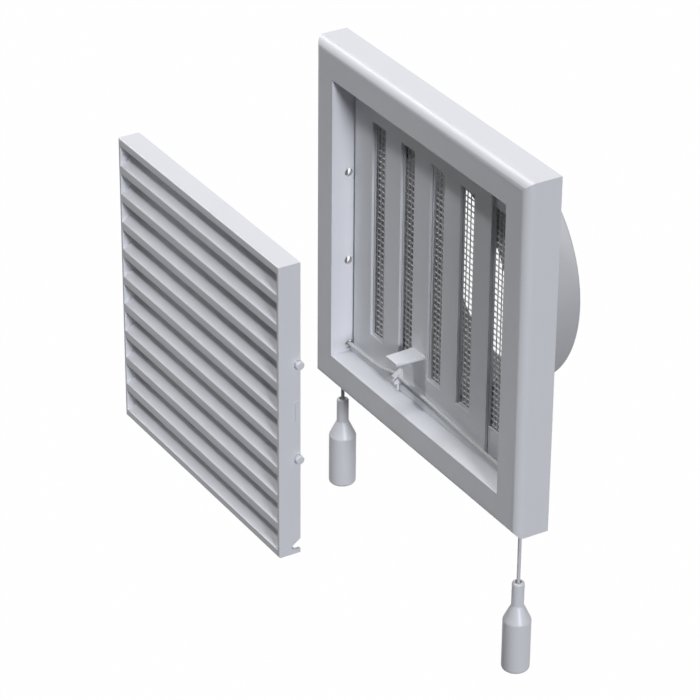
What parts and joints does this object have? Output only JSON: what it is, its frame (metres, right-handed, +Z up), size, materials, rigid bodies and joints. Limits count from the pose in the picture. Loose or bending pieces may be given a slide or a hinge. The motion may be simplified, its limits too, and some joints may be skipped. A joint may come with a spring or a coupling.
{
  "type": "pull-cord vent grille",
  "caption": "Square louvred vent grille with a round duct spigot, insect mesh, a sliding slotted shutter worked by a pull cord with two pulls, and a lift-off louvre panel.",
  "frame": {"origin": "on the duct spigot's axis, where it meets the plane of the wall's face", "axes": "+X to the right seen from the room, +Y into the wall along the spigot's axis, +Z up"},
  "size_m": [0.186, 0.1719, 0.268],
  "materials": {
    "shell_plastic": "satin moulded white plastic",
    "mesh_plastic": "matt grey netting",
    "cord_textile": "braided white cord",
    "pull_plastic": "polished white plastic",
    "screw_steel": "zinc plated"
  },
  "bodies": {
    "base": {"bezel": "shell_plastic", "slotted_plate": "shell_plastic", "mesh_uprights": "mesh_plastic", "mesh_crossbars": "mesh_plastic", "duct_collar": "shell_plastic", "collar_screws": "screw_steel"},
    "shutter": {"shutter": "shell_plastic", "cord_clip": "shell_plastic", "clip_pin": "shell_plastic", "cord_left_run": "cord_textile", "cord_right_run": "cord_textile"},
    "left_pull": {"left_pull": "pull_plastic", "left_knot": "cord_textile", "cord_left_drop": "cord_textile"},
    "right_pull": {"right_pull": "pull_plastic", "right_knot": "cord_textile", "cord_right_drop": "cord_textile"},
    "panel": {"panel_frame": "shell_plastic", "louvre_blade_1": "shell_plastic", "louvre_blade_2": "shell_plastic", "louvre_blade_3": "shell_plastic", "louvre_blade_4": "shell_plastic", "louvre_blade_5": "shell_plastic", "louvre_blade_6": "shell_plastic", "louvre_blade_7": "shell_plastic", "louvre_blade_8": "shell_plastic", "louvre_blade_9": "shell_plastic"}
  },
  "joints": [
    {"name": "shutter_slide", "type": "slide", "parent": "base", "child": "shutter", "axis": [1, 0, 0], "range_m": [0, 0.0125], "deforming": ["cord_left_run", "cord_right_run"]},
    {"name": "left_pull_drop", "type": "slide", "parent": "base", "child": "left_pull", "axis": [0, 0, 1], "range_m": [0, 0.0125], "deforming": ["cord_left_drop"]},
    {"name": "right_pull_drop", "type": "slide", "parent": "base", "child": "right_pull", "axis": [0, 0, 1], "range_m": [-0.0125, 0], "deforming": ["cord_right_drop"]},
    {"name": "panel_slide", "type": "slide", "parent": "base", "child": "panel", "axis": [0, 1, 0], "range_m": [0, 0.1167]}
  ],
  "couplings": [
    {"joint": "left_pull_drop", "follows": "shutter_slide", "ratio": 1},
    {"joint": "right_pull_drop", "follows": "shutter_slide", "ratio": -1}
  ]
}
